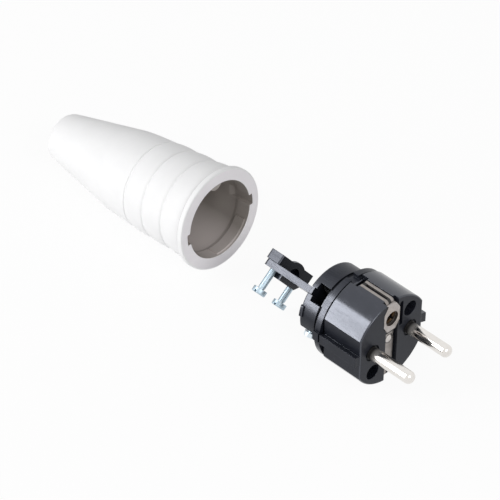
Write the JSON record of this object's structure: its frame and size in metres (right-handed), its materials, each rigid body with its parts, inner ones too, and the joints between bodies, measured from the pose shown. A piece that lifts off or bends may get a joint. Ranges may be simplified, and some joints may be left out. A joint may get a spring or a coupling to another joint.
{
  "type": "rubber electric plug",
  "caption": "Hand-wired earthed electric plug, opened: black insert with round pins, cord clamp and screw terminals, beside its tapered white rubber sleeve.",
  "frame": {"origin": "on the insert's front face, midway between the two pins", "axes": "+X is the way the pins point, +Y runs from the first pin to the second, +Z is the earth socket's side and up as it lies"},
  "size_m": [0.1911, 0.0408, 0.0407],
  "materials": {
    "white_rubber": "matte moulded rubber",
    "black_plastic": "half-gloss moulded plastic",
    "strap_plastic": "half-gloss moulded plastic",
    "pin_nickel": "polished nickel on brass",
    "terminal_brass": "turned brass",
    "strip_nickel": "nickelled strip, pressed",
    "plate_nickel": "nickelled sheet, punched",
    "socket_brass": "turned brass",
    "rivet_nickel": "nickelled rivet",
    "screw_zinc": "bright zinc",
    "body_screw_zinc": "bright zinc",
    "clamp_zinc": "bright zinc",
    "nut_zinc": "bright zinc"
  },
  "bodies": {
    "plug": {"rubber_sleeve": "white_rubber", "contact_body": "black_plastic", "rear_housing": "black_plastic", "pin_first": "pin_nickel", "pin_second": "pin_nickel", "terminal_first": "terminal_brass", "terminal_second": "terminal_brass", "pin_terminal_screws": "screw_zinc", "earth_strip": "strip_nickel", "socket_plate": "plate_nickel", "earth_socket": "socket_brass", "earth_terminal": "terminal_brass", "earth_terminal_screw": "screw_zinc", "strip_rivet": "rivet_nickel", "body_screws": "body_screw_zinc"},
    "cord_clamp": {"clamp_strap": "strap_plastic", "clamp_nuts": "nut_zinc", "clamp_screws": "clamp_zinc"}
  },
  "joints": [
    {"name": "clamp_lift", "type": "slide", "parent": "plug", "child": "cord_clamp", "axis": [0, 0.7826, 0.6225], "range_m": [0, 0.0058]}
  ]
}
